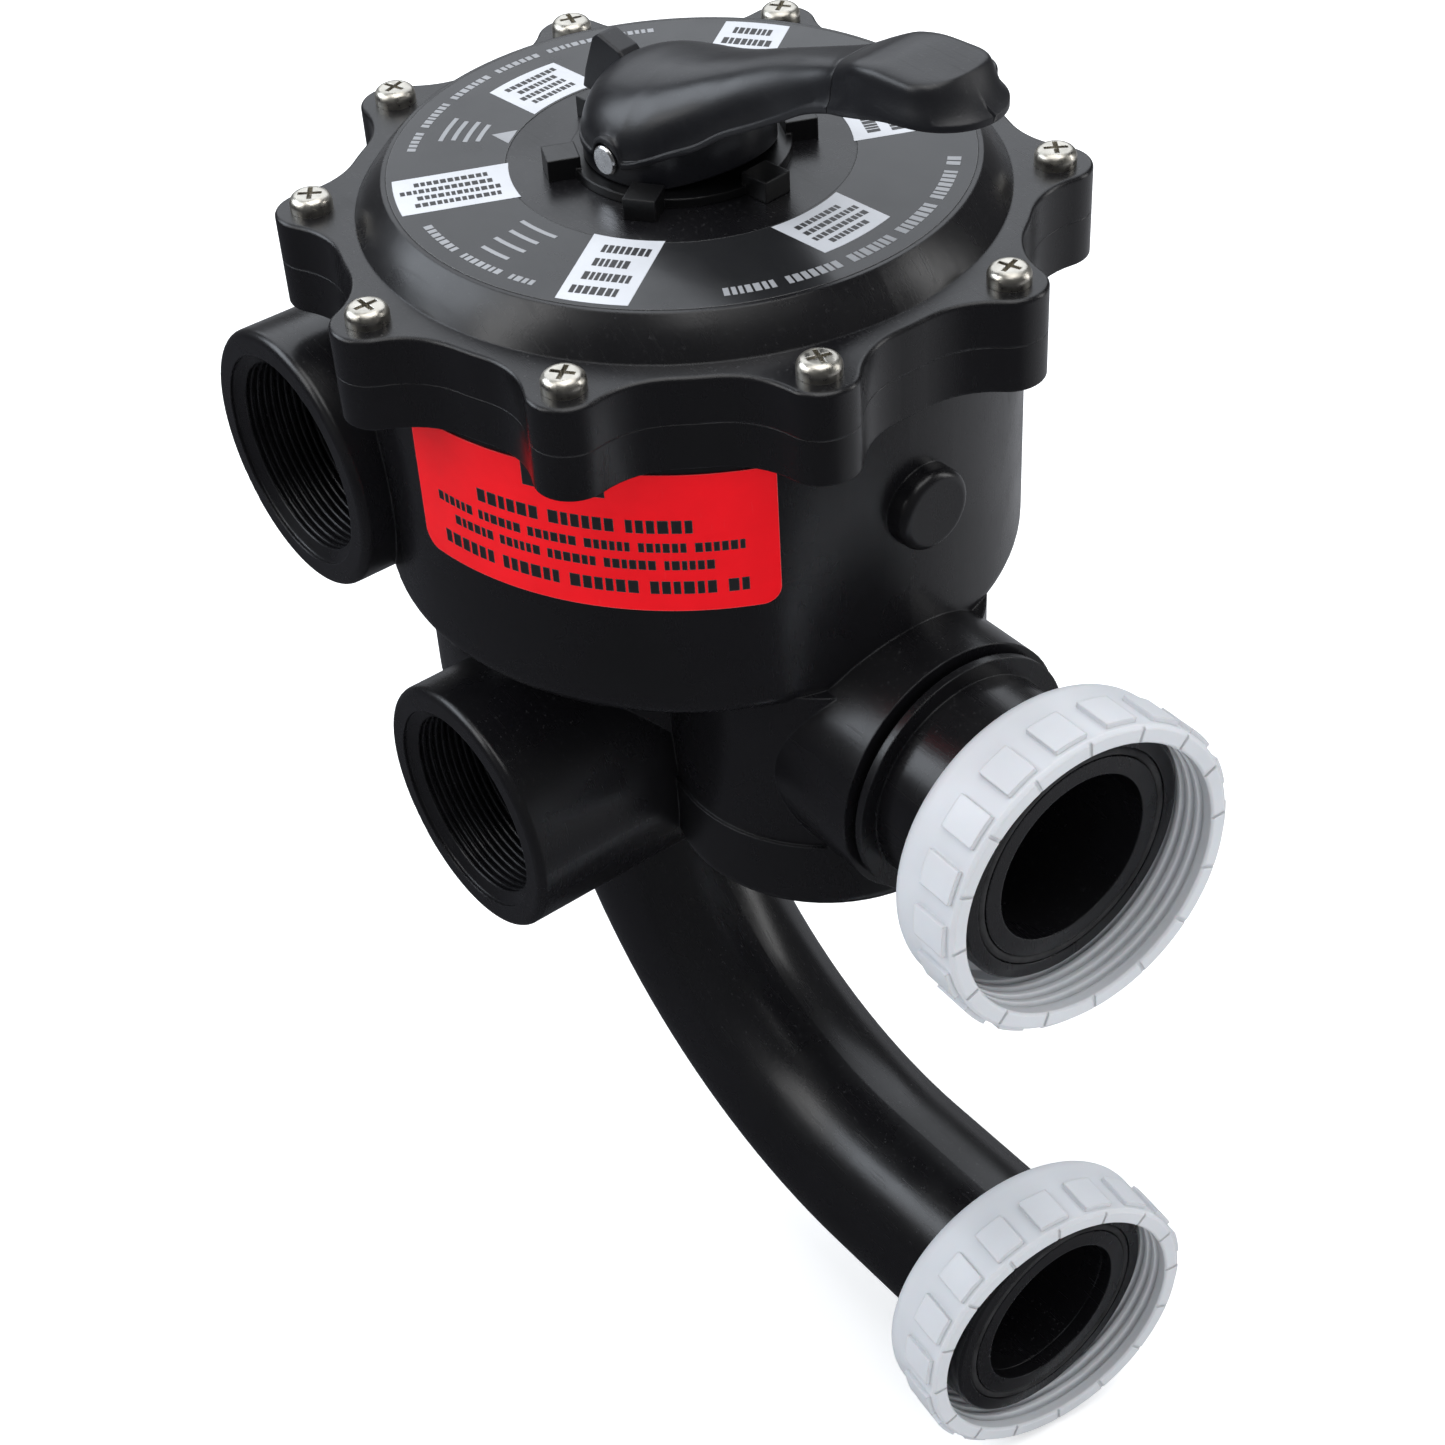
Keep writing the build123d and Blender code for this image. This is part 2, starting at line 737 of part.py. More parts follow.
# ---- unions ----
def flange_end(sleeve_start):
    # sleeve, flange and bore of a tailpiece, turned about X, with the sealing face at x = 0
    with BuildPart() as tail:
        with BuildSketch(Plane.XZ):
            with BuildLine():
                Polyline(
                    (sleeve_start, union_bore_r),
                    (sleeve_start, tail_neck_r),
                    (-tail_flange_t, tail_neck_r),
                    (-tail_flange_t, tail_flange_r),
                    (-tail_chamfer, tail_flange_r),
                    (0, tail_flange_r - tail_chamfer),
                    (0, face_groove_outer_r),
                    (-face_groove_depth, face_groove_outer_r),
                    (-face_groove_depth, face_groove_inner_r),
                    (0, face_groove_inner_r),
                    (0, union_bore_r),
                    close=True,
                )
            make_face()
        revolve(axis=Axis.X)
    return tail.part


def union_nut(first_pad):
    # back face at z = 0, opening towards +Z
    with BuildPart() as nut:
        with BuildSketch(Plane.XZ):
            with BuildLine():
                Line((nut_hole_r, 0), (nut_r - nut_back_round, 0))
                RadiusArc((nut_r - nut_back_round, 0), (nut_r, nut_back_round), -nut_back_round)
                Polyline(
                    (nut_r, nut_back_round),
                    (nut_r, nut_length - nut_front_bevel),
                    (nut_r - nut_front_bevel, nut_length),
                    (nut_minor_r + nut_lead_in, nut_length),
                    (nut_minor_r, nut_length - nut_lead_in),
                    (nut_minor_r, nut_wall_t),
                    (nut_hole_r, nut_wall_t),
                    (nut_hole_r, 0),
                )
            make_face()
        revolve(axis=Axis.Z)
        thread_top = nut_length - nut_thread_start
        with BuildSketch(Plane.XZ):
            add(ring_teeth(thread_top, nut_thread_turns, nut_thread_pitch, nut_minor_r, nut_major_r))
        revolve(axis=Axis.Z, mode=Mode.SUBTRACT)
        # raised grip pads
        with BuildSketch(Plane.XY.offset(pad_start)):
            for i in range(pad_count):
                middle = first_pad + i * 360 / pad_count
                pad_r = nut_r + pad_h
                add(ring_sector(nut_r - 1, pad_r, middle - pad_angle / 2, middle + pad_angle / 2))
        extrude(amount=pad_length)
        # fine notches in the front rim
        with BuildSketch(Plane.XY.offset(nut_length)):
            with PolarLocations((nut_minor_r + nut_r) / 2, notch_count):
                Rectangle(nut_r - nut_minor_r, notch_w)
        extrude(amount=-notch_depth, mode=Mode.SUBTRACT)
    return nut.part


# glued into the hub of the body
with BuildPart() as upper_tailpiece:
    add(flange_end(tail_collar_x))
    with BuildSketch(facing_x(socket_start_x, 0)):
        Circle(pipe_r)
        Circle(union_bore_r, mode=Mode.SUBTRACT)
    extrude(amount=tail_collar_x - socket_start_x)
    with BuildSketch(facing_x(tail_collar_x, 0)):
        Circle(tail_collar_r)
        Circle(union_bore_r, mode=Mode.SUBTRACT)
    extrude(amount=tail_collar_t)
save(upper_tailpiece.part, "upper_tailpiece")

# glued over the end of the drop pipe
with BuildPart() as lower_tailpiece:
    add(flange_end(sleeve_start_x).moved(Location((0, 0, -union_drop))))
    with BuildSketch(facing_x(sleeve_start_x, -union_drop)):
        Circle(pipe_r + glue_gap)
    extrude(amount=pipe_end_x + pipe_end_gap - sleeve_start_x, mode=Mode.SUBTRACT)
save(lower_tailpiece.part, "lower_tailpiece")

with BuildPart() as drop_pipe:
    with BuildLine(Plane.XZ) as pipe_path:
        Line((pipe_x, pipe_top_z), (pipe_x, bend_z))
        CenterArc((bend_x, bend_z), bend_r, 180, 90)
        Line((bend_x, -union_drop), (pipe_end_x, -union_drop))
    with BuildSketch(level(pipe_top_z, pipe_x)):
        Circle(pipe_r)
        Circle(pipe_bore_r, mode=Mode.SUBTRACT)
    sweep(path=pipe_path.wire())
save(drop_pipe.part, "drop_pipe")

def nut_place(front, pitch, yaw):
    # frame at the back of a nut whose front has this centre and direction
    direction = Vector(1, 0, 0).rotate(Axis.Y, -pitch).rotate(Axis.Z, yaw)
    return Location(Plane(origin=Vector(*front) - direction * nut_length, x_dir=(0, 1, 0), z_dir=direction))


upper_nut_place = nut_place(upper_nut_front, upper_nut_pitch, upper_nut_yaw)
lower_nut_place = nut_place(lower_nut_front, lower_nut_pitch, lower_nut_yaw)
for name, union_z, place, first_pad in (
    ("upper", 0, upper_nut_place, upper_first_pad),
    ("lower", -union_drop, lower_nut_place, lower_first_pad),
):
    with BuildPart() as nut:
        add(union_nut(first_pad).moved(place))
    save(nut.part, f"{name}_union_nut")
    with BuildPart() as face_seal:
        seat = facing_x(face_seal_wire_r - face_groove_depth, union_z)
        mean_r = (face_groove_inner_r + face_groove_outer_r) / 2
        add(seal_ring(mean_r, face_seal_wire_r).moved(Location(seat)))
    save(face_seal.part, f"{name}_union_o_ring")
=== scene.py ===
"""Looks of a side-mounted multiport valve: black plastic body, charcoal dial, red label, pale union nuts."""
import bpy
import json
import math
import random
from mathutils import Matrix, Vector


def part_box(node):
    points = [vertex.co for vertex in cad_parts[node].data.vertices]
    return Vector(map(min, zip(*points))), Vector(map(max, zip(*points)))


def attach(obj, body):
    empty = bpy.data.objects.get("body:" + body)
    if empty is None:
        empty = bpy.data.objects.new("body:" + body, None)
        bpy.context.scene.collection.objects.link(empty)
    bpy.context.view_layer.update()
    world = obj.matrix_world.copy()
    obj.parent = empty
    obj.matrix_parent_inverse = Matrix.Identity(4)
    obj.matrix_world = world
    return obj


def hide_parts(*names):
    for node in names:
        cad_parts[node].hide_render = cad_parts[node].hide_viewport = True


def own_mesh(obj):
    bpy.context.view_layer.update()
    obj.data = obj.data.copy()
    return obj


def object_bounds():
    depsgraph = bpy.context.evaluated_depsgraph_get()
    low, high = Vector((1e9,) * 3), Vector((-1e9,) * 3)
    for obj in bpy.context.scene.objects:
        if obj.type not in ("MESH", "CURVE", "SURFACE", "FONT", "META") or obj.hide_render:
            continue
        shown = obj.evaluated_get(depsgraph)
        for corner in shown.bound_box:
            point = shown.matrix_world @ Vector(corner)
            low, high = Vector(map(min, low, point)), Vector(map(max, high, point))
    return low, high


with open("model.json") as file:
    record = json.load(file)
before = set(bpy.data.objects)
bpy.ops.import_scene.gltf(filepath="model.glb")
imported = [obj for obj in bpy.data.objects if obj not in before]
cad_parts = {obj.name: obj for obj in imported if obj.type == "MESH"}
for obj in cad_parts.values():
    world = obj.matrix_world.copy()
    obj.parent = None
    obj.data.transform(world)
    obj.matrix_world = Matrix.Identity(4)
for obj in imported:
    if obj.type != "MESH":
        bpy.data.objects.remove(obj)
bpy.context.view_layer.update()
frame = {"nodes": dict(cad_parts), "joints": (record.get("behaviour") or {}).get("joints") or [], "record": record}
nodes = frame["nodes"]
joints = {j["name"]: j for j in frame["joints"]}

MM = 0.001
UP = Vector((0, 0, 1))
shaft = Vector(joints["selector_turn"]["pos_m"])
shaft.z = 0
side_dir = Vector(joints["handle_tilt"]["axis"]).normalized()
lever_dir = side_dir.cross(UP)
lever_azimuth = math.atan2(lever_dir.y, lever_dir.x)
dial_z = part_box("dial_plate")[1].z
label_low, label_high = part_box("side_label")
POSITIONS = 6

# brightness of the room on matt surfaces and in reflections, and of floor and backdrop to the camera
ROOM_LIGHT = 0.55
ROOM_SHEEN = 0.08
FLOOR_GLOW = 0.35
BACKDROP_WHITE = 1.05


# ---------------------------------------------------------------- material helpers
class Nodes:
    """Short calls for building one material's node tree."""

    def __init__(self, name):
        self.material = bpy.data.materials.new(name)
        self.material.use_nodes = True
        self.tree = self.material.node_tree
        self.tree.nodes.clear()
        self.out = self.node("ShaderNodeOutputMaterial")
        self.shader = self.node("ShaderNodeBsdfPrincipled")
        self.link(self.shader, "BSDF", self.out, "Surface")
        self.place = self.node("ShaderNodeTexCoord").outputs["Object"]

    def node(self, kind, **values):
        made = self.tree.nodes.new(kind)
        for key, value in values.items():
            setattr(made, key, value)
        return made

    def link(self, source, output, target, socket):
        self.tree.links.new(source.outputs[output], target.inputs[socket])

    def join(self, output, socket):
        self.tree.links.new(output, socket)

    def set(self, **values):
        for key, value in values.items():
            self.shader.inputs[key.replace("_", " ")].default_value = value

    def noise(self, scale, detail=3.0, rough=0.55, stretch=None):
        made = self.node("ShaderNodeTexNoise")
        made.inputs["Scale"].default_value = scale
        made.inputs["Detail"].default_value = detail
        made.inputs["Roughness"].default_value = rough
        source = self.place
        if stretch:
            mapping = self.node("ShaderNodeMapping")
            mapping.inputs["Scale"].default_value = stretch
            self.join(source, mapping.inputs["Vector"])
            source = mapping.outputs["Vector"]
        self.join(source, made.inputs["Vector"])
        return made.outputs["Fac"]

    def span(self, value, low, high, to_low, to_high):
        made = self.node("ShaderNodeMapRange")
        made.inputs["From Min"].default_value = low
        made.inputs["From Max"].default_value = high
        made.inputs["To Min"].default_value = to_low
        made.inputs["To Max"].default_value = to_high
        self.join(value, made.inputs["Value"])
        return made.outputs["Result"]

    def math(self, operation, a, b):
        made = self.node("ShaderNodeMath", operation=operation, use_clamp=False)
        for i, value in enumerate((a, b)):
            if isinstance(value, (int, float)):
                made.inputs[i].default_value = value
            else:
                self.join(value, made.inputs[i])
        return made.outputs["Value"]

    def mix(self, factor, a, b):
        made = self.node("ShaderNodeMix", data_type="RGBA")
        for key, value in (("Factor", factor), ("A", a), ("B", b)):
            socket = [s for s in made.inputs if s.name == key and s.enabled][0]
            if isinstance(value, (int, float, tuple)):
                socket.default_value = value
            else:
                self.join(value, socket)
        return [s for s in made.outputs if s.enabled][0]

    def edge(self, radius):
        """(rounded normal, mask that is 1 on sharp edges)."""
        bevel = self.node("ShaderNodeBevel", samples=4)
        bevel.inputs["Radius"].default_value = radius
        flat = self.node("ShaderNodeNewGeometry")
        dot = self.node("ShaderNodeVectorMath", operation="DOT_PRODUCT")
        self.link(bevel, "Normal", dot, 0)
        self.link(flat, "Normal", dot, 1)
        return bevel.outputs["Normal"], self.span(dot.outputs["Value"], 0.995, 0.85, 0, 1)

    def up_facing(self):
        flat = self.node("ShaderNodeNewGeometry")
        split = self.node("ShaderNodeSeparateXYZ")
        self.link(flat, "Normal", split, 0)
        return self.span(split.outputs["Z"], 0.3, 1.0, 0, 1)

    def bump(self, height, strength, distance, normal=None):
        made = self.node("ShaderNodeBump")
        made.inputs["Strength"].default_value = strength
        made.inputs["Distance"].default_value = distance
        self.join(height, made.inputs["Height"])
        if normal is not None:
            self.join(normal, made.inputs["Normal"])
        return made.outputs["Normal"]


def rgb(r, g, b):
    """Opaque colour from linear red, green and blue."""
    return (r, g, b, 1.0)


def shaded(colour, share, lift=0.0):
    """The colour multiplied by share, with lift added."""
    return rgb(*(min(1.0, share * c + lift) for c in colour[:3]))


def moulded_plastic(name, colour, worn, rough, grain, dust):
    """Injection-moulded plastic: mottling, fine grain, hairline scratches, rubbed edges, a little dust."""
    n = Nodes(name)
    rounded, edges = n.edge(0.7 * MM)
    shade = n.mix(n.span(n.noise(16, 4), 0.35, 0.7, 0, 1), colour, shaded(colour, 0.72))
    rub = n.math("MULTIPLY", edges, n.span(n.noise(70, 5), 0.42, 0.68, 0.05, 0.6))
    shade = n.mix(rub, shade, worn)
    specks = n.math("MULTIPLY", n.span(n.noise(900, 2), 0.62, 0.8, 0, dust), n.up_facing())
    shade = n.mix(specks, shade, rgb(0.35, 0.35, 0.36))
    n.join(shade, n.shader.inputs["Base Color"])
    hairlines = n.span(n.noise(60, 2, 0.4, (1.0, 22.0, 3.0)), 0.6, 0.7, 0, 0.05)
    smears = n.span(n.noise(34, 4), 0.3, 0.75, rough - 0.05, rough + 0.09)
    scratched = n.math("ADD", hairlines, n.math("MULTIPLY", specks, 0.5))
    n.join(n.math("ADD", smears, scratched), n.shader.inputs["Roughness"])
    wavy = n.bump(n.noise(28, 1), 0.10, 0.0012, rounded)
    fine = n.bump(n.noise(1500, 2), grain, 0.00006, wavy)
    n.join(fine, n.shader.inputs["Normal"])
    n.set(Specular_IOR_Level=0.5)
    return n.material


def printed_film(name, colour, rough, gloss):
    """Thin printed film: even colour with faint print mottling and a few scuffs."""
    n = Nodes(name)
    rounded, edges = n.edge(0.25 * MM)
    mottle = n.span(n.noise(45, 4), 0.3, 0.7, 0, 1)
    shade = n.mix(mottle, colour, shaded(colour, 0.86))
    scuffs = n.span(n.noise(130, 5, 0.6, (1.0, 5.0, 1.0)), 0.66, 0.78, 0, 0.25)
    shade = n.mix(scuffs, shade, shaded(colour, 0.8, 0.06))
    n.join(n.mix(n.math("MULTIPLY", edges, 0.4), shade, rgb(0.5, 0.5, 0.5)), n.shader.inputs["Base Color"])
    n.join(n.span(n.noise(60, 4), 0.3, 0.7, rough - 0.04, rough + 0.08), n.shader.inputs["Roughness"])
    n.join(n.bump(n.noise(700, 2), 0.12, 0.00004, rounded), n.shader.inputs["Normal"])
    n.set(Specular_IOR_Level=gloss)
    return n.material


def steel(name, colour, rough, brush):
    """Plain rolled or turned steel."""
    n = Nodes(name)
    rounded, edges = n.edge(0.35 * MM)
    stains = n.span(n.noise(260, 4), 0.35, 0.75, 0, 1)
    shade = n.mix(stains, colour, shaded(colour, 0.74))
    n.join(n.mix(n.math("MULTIPLY", edges, 0.6), shade, rgb(0.92, 0.91, 0.88)), n.shader.inputs["Base Color"])
    n.join(n.span(n.noise(500, 3), 0.3, 0.7, rough - 0.08, rough + 0.14), n.shader.inputs["Roughness"])
    n.join(n.bump(n.noise(900, 3, 0.5, brush), 0.3, 0.00008, rounded), n.shader.inputs["Normal"])
    n.set(Metallic=1.0)
    return n.material


def pale_plastic(name, colour, hollow_shade):
    """Union nuts: pale plastic, a little translucent, with painted shade in the thread and round the pads."""
    n = Nodes(name)
    rounded, edges = n.edge(0.9 * MM)
    shade = n.mix(n.span(n.noise(30, 4), 0.3, 0.7, 0, 1), colour, shaded(colour, 0.93))
    # painted shade: the ambient occlusion node darkens the colour in the thread and round the pads, broken up by
    # noise
    hollow = n.node("ShaderNodeAmbientOcclusion", samples=6)
    hollow.inputs["Distance"].default_value = 3.5 * MM
    hollow_shade_mask = n.span(hollow.outputs["AO"], 0.3, 0.8, 0.35, 0.0)
    hollow_shade_mask = n.math("MULTIPLY", hollow_shade_mask, n.span(n.noise(140, 4), 0.3, 0.7, 0.4, 1.1))
    shade = n.mix(hollow_shade_mask, shade, hollow_shade)
    shade = n.mix(n.math("MULTIPLY", edges, 0.35), shade, rgb(0.93, 0.94, 0.95))
    n.join(shade, n.shader.inputs["Base Color"])
    n.join(n.span(n.noise(90, 4), 0.3, 0.7, 0.34, 0.5), n.shader.inputs["Roughness"])
    wavy = n.bump(n.noise(40, 1), 0.15, 0.0008, rounded)
    n.join(n.bump(n.noise(1300, 2), 0.2, 0.00006, wavy), n.shader.inputs["Normal"])
    n.set(Subsurface_Weight=0.08, Subsurface_Scale=0.002)
    return n.material


def rubber(name):
    """Black seal rubber, matt and a little dusty."""
    n = Nodes(name)
    rounded, edges = n.edge(0.3 * MM)
    shade = n.mix(n.span(n.noise(120, 4), 0.3, 0.7, 0, 1), rgb(0.012, 0.012, 0.013), rgb(0.03, 0.03, 0.032))
    n.join(n.mix(n.math("MULTIPLY", edges, 0.3), shade, rgb(0.09, 0.09, 0.09)), n.shader.inputs["Base Color"])
    n.join(n.span(n.noise(200, 3), 0.3, 0.7, 0.55, 0.75), n.shader.inputs["Roughness"])
    n.join(n.bump(n.noise(1100, 3), 0.4, 0.00008, rounded), n.shader.inputs["Normal"])
    return n.material


# colour, rubbed colour, roughness, grain, dust
PLASTICS = {
    "black_plastic": (rgb(0.0062, 0.0060, 0.0072), rgb(0.05, 0.052, 0.058), 0.26, 0.25, 0.08),
    # ring_plastic: black made darker than the body's, as painted shade for the position ring under the lever's hub
    "ring_plastic": (rgb(0.004, 0.004, 0.0045), rgb(0.02, 0.02, 0.022), 0.3, 0.25, 0.0),
    "handle_plastic": (rgb(0.0085, 0.0088, 0.0112), rgb(0.05, 0.05, 0.056), 0.33, 0.35, 0.08),
    "rotor_plastic": (rgb(0.03, 0.03, 0.033), rgb(0.1, 0.1, 0.1), 0.42, 0.25, 0.08),
    "washer_plastic": (rgb(0.7, 0.68, 0.62), rgb(0.8, 0.79, 0.75), 0.4, 0.25, 0.08),
}
# colour, roughness, gloss
FILMS = {
    "dial_film": (rgb(0.016, 0.0165, 0.018), 0.2, 0.5),
    "label_film": (rgb(0.83, 0.001, 0.008), 0.42, 0.12),
    "white_ink": (rgb(0.60, 0.62, 0.66), 0.35, 0.5),
    "grey_ink": (rgb(0.30, 0.31, 0.33), 0.35, 0.5),
    "black_ink": (rgb(0.012, 0.012, 0.014), 0.35, 0.5),
}
# colour, roughness, stretch of the brushing
STEELS = {
    "screw_steel": (rgb(0.70, 0.67, 0.60), 0.3, None),
    "pin_steel": (rgb(0.78, 0.78, 0.79), 0.18, (1.0, 20.0, 1.0)),
    "spring_steel": (rgb(0.5, 0.49, 0.47), 0.35, None),
}
materials = {name: moulded_plastic(name, *look) for name, look in PLASTICS.items()}
materials.update({name: printed_film(name, *look) for name, look in FILMS.items()})
materials.update({name: steel(name, *look) for name, look in STEELS.items()})
# the second colour is the painted shade in the nuts' thread and round their pads
materials["nut_plastic"] = pale_plastic("nut_plastic", rgb(0.62, 0.64, 0.675), rgb(0.31, 0.31, 0.31))
materials["seal_rubber"] = rubber("seal_rubber")


# ---------------------------------------------------------------- mesh helpers
def add_piece(name, points, faces, material, body, smooth=True):
    """New mesh piece that rides on a body."""
    mesh = bpy.data.meshes.new(name)
    mesh.from_pydata([tuple(p) for p in points], [], faces)
    mesh.validate()
    mesh.update()
    piece = bpy.data.objects.new(name, mesh)
    bpy.context.scene.collection.objects.link(piece)
    mesh.materials.append(materials[material])
    if smooth:
        for face in mesh.polygons:
            face.use_smooth = True
    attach(piece, body)
    return piece


def smooth_curve(points):
    """Function through (x, y) points, flowing smoothly between them."""
    xs = [p[0] for p in points]
    ys = [p[1] for p in points]
    steps = [(ys[i + 1] - ys[i]) / (xs[i + 1] - xs[i]) for i in range(len(xs) - 1)]
    slopes = [steps[0]]
    for before, after in zip(steps, steps[1:]):
        slopes.append(0.0 if before * after <= 0 else 2 * before * after / (before + after))
    slopes.append(steps[-1])

    def at(x):
        x = min(max(x, xs[0]), xs[-1])
        i = max(k for k in range(len(xs) - 1) if xs[k] <= x)
        width = xs[i + 1] - xs[i]
        t = (x - xs[i]) / width
        low = ys[i] * (1 + 2 * t) * (1 - t) ** 2 + slopes[i] * width * t * (1 - t) ** 2
        return low + ys[i + 1] * t * t * (3 - 2 * t) + slopes[i + 1] * width * t * t * (t - 1)

    return at


def on_lever(u, v, z):
    """Point at u along the lever, v across it and height z, all in millimetres."""
    return shaft + lever_dir * (u * MM) + side_dir * (v * MM) + UP * (z * MM)


# ---------------------------------------------------------------- lever
# In millimetres: u runs along the lever from the selector axis, v across it, z up.
# The lip is the low upright band along the rim; the lean tips the paddle's end back.
HUB_R = 26.0
HUB_PLAN_END = 4.0
TIP_START = 92.0
TIP_U = 108.0
SEAM_U = 66.0
PADDLE_HALF = 14.8
LEAN_START = 86.0
LEAN = 8.3
LIP_RISE = 1.7
LIP_DEPTH = 0.45
PIN_Z = 151.0
NOTCH_R = 4.7
ACROSS_STEPS = 44

# heights of the top and of the lower edge, and half the width, along u
top_line = smooth_curve(
    [(-26, 151), (-25.2, 154.6), (-23, 159.5), (-17, 165.5), (-9, 169.2), (0, 171.2), (12, 174.3),
     (25, 178.6), (39, 183.8), (52, 188.2), (60, 190.8), (66, 192.9), (70, 194.9), (76, 197.2), (84, 198.2),
     (108, 198.2)]
)
rim_line = smooth_curve(
    [(-26, 149.8), (5, 150), (12, 152.4), (18, 155.4), (24, 158.2), (31, 163), (38, 166.6), (44, 169.8),
     (50, 173.2), (57, 177.3), (66, 181), (72, 182.9), (79, 185.2), (88, 187.5), (96, 188.3), (108, 188.5)]
)
plan_line = smooth_curve(
    [(HUB_PLAN_END, 25.7), (10, 23.9), (18, 20.1), (28, 15.6), (38, 12.6), (48, 11.1), (58, 11.0),
     (66, 11.8), (73, 13.4), (80, 14.6), (87, PADDLE_HALF), (TIP_START, PADDLE_HALF)]
)

# squareness of the section (2 is round), height share of its upright wall, and how much it narrows upwards
shape_line = smooth_curve(
    [(-26, 2.1), (15, 2.2), (45, 2.6), (60, 3.4), (65.9, 4.2), (66.1, 6.0), (76, 8.5), (108, 8.5)]
)
crown_line = smooth_curve([(-26, 0.0), (40, 0.1), (66, 0.25), (80, 0.35), (108, 0.35)])
taper_line = smooth_curve([(-26, 0.06), (20, 0.05), (45, 0.08), (66, 0.2), (76, 0.12), (108, 0.12)])


def rim_height(u):
    """Height of the lower edge, with a round notch over the cross pin."""
    if abs(u) < NOTCH_R:
        return max(rim_line(u), PIN_Z + math.sqrt(NOTCH_R ** 2 - u * u))
    return rim_line(u)


def half_width(u):
    """Half the lever's width at its lower edge."""
    if u < HUB_PLAN_END:
        return math.sqrt(max(HUB_R ** 2 - u * u, 0.0))
    if u > TIP_START:
        return PADDLE_HALF * math.sqrt(max(1 - ((u - TIP_START) / (TIP_U - TIP_START)) ** 2, 0.0))
    return plan_line(u)


def lever_section(u, inset):
    """Points (u, v, z) over the lever from rim to rim; the paddle's end leans back towards its top."""
    width = max(half_width(u) - inset, 0.02)
    top, rim = top_line(u) - inset, rim_line(u)
    low = rim_height(u)
    wall = rim + (top - rim) * crown_line(u)
    power = 2 / shape_line(u)
    lean = LEAN * max(0.0, (u - LEAN_START) / (TIP_U - LEAN_START)) ** 2
    lip = min(LIP_DEPTH, 0.3 * width)
    row = [(u, -width, low), (u, -width, low + LIP_RISE)]
    for i in range(ACROSS_STEPS + 1):
        angle = math.pi * (1 - i / ACROSS_STEPS)
        across = math.copysign(abs(math.cos(angle)) ** power, math.cos(angle))
        z = max(wall + (top - wall) * math.sin(angle) ** power, low + LIP_RISE)
        share = (z - rim) / (top - rim)
        row.append((u - lean * share, (width - lip) * across * (1 - taper_line(u) * share), z))
    return row + [(u, width, low + LIP_RISE), (u, width, low)]


def eased(start, end, count, ease_start, ease_end):
    """Stations from start to end, closer together at an eased end."""
    made = []
    for i in range(count + 1):
        t = i / count
        if ease_start:
            t = 1 - math.cos(math.pi / 2 * t)
        elif ease_end:
            t = math.sin(math.pi / 2 * t)
        made.append(start + (end - start) * t)
    return made


def lever_shell(name, stations, closed):
    """Shell over stations of (u, inset), open below, or closed by a flat plate and end."""
    rows = [[on_lever(*point) for point in lever_section(u, inset)] for u, inset in stations]
    across = len(rows[0])
    points = [p for row in rows for p in row]
    faces = []
    for i in range(len(rows) - 1):
        for k in range(across - 1):
            a = i * across + k
            faces.append((a, a + 1, a + across + 1, a + across))
    if closed:
        for i in range(len(rows) - 1):
            faces.append((i * across, (i + 1) * across, (i + 2) * across - 1, (i + 1) * across - 1))
        faces.append(tuple(range(across))[::-1])
        faces.append(tuple(range(len(points) - across, len(points))))
    piece = add_piece(name, points, [face[::-1] for face in faces], "handle_plastic", "handle")
    piece.data.set_sharp_from_angle(angle=math.radians(40))
    return piece


def bevel_edges(piece, width, segments, angle):
    """Small round on every edge sharper than angle, in degrees."""
    edge = piece.modifiers.new("edge", "BEVEL")
    edge.width = width
    edge.segments = segments
    edge.limit_method = "ANGLE"
    edge.angle_limit = math.radians(angle)


def make_lever():
    """Hub shell up to the seam, and the closed grip with a tongue that fills the seam from inside."""
    seam_gap, tongue, wall, end_gap = 0.2, 4.0, 2.4, 0.01
    notch_steps = 14
    stations = [u for u in eased(-HUB_R + end_gap, SEAM_U, 70, True, False) if abs(u) > NOTCH_R]
    stations += [NOTCH_R * 0.999 * math.cos(math.pi * i / notch_steps) for i in range(notch_steps + 1)]
    hub = lever_shell("lever_shell", [(u, 0.0) for u in sorted(stations)], False)
    solid = hub.modifiers.new("wall", "SOLIDIFY")
    solid.thickness = wall * MM
    solid.offset = -1
    bevel_edges(hub, 0.3 * MM, 2, 40)
    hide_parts("handle")
    grip_start = SEAM_U + seam_gap
    stations = [(SEAM_U - tongue, wall + seam_gap), (grip_start, wall + seam_gap)]
    stations += [(u, 0.0) for u in eased(grip_start, TIP_U - end_gap, 50, False, True)]
    grip = lever_shell("lever_grip", stations, True)
    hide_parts("handle_grip")


def make_spring():
    """The coil spring: a copy of the CAD spring in spring steel, riding on the rotor."""
    coil = nodes["spring"].data.copy()
    coil.name = "spring_coil"
    spring = bpy.data.objects.new("spring_coil", coil)
    bpy.context.scene.collection.objects.link(spring)
    coil.materials.clear()
    coil.materials.append(materials["spring_steel"])
    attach(spring, "rotor")
    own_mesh(spring)
    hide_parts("spring")


